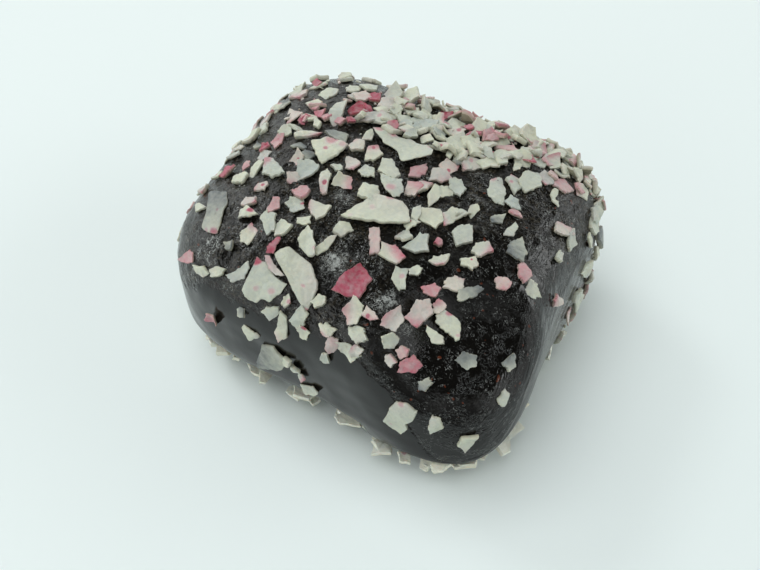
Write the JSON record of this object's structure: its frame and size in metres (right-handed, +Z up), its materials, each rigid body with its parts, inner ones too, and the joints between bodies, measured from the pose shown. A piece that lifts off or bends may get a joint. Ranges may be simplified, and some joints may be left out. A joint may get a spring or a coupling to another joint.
{
  "type": "coconut praline",
  "caption": "Hand-dipped dark chocolate praline, a rounded rectangular block with a crinkled glossy top strewn with ivory and pink coconut chips.",
  "frame": {"origin": "middle of the flat base, on the surface that the praline stands on", "axes": "+Z up, +X along the long side, -Y towards the front, the long side with the fewest chips"},
  "size_m": [0.0329, 0.0293, 0.0183],
  "materials": {
    "dark_chocolate": "glossy crinkled dark chocolate",
    "coconut": "matt ivory dried coconut with pink stains"
  },
  "bodies": {
    "root": {"praline": "dark_chocolate"}
  },
  "joints": []
}
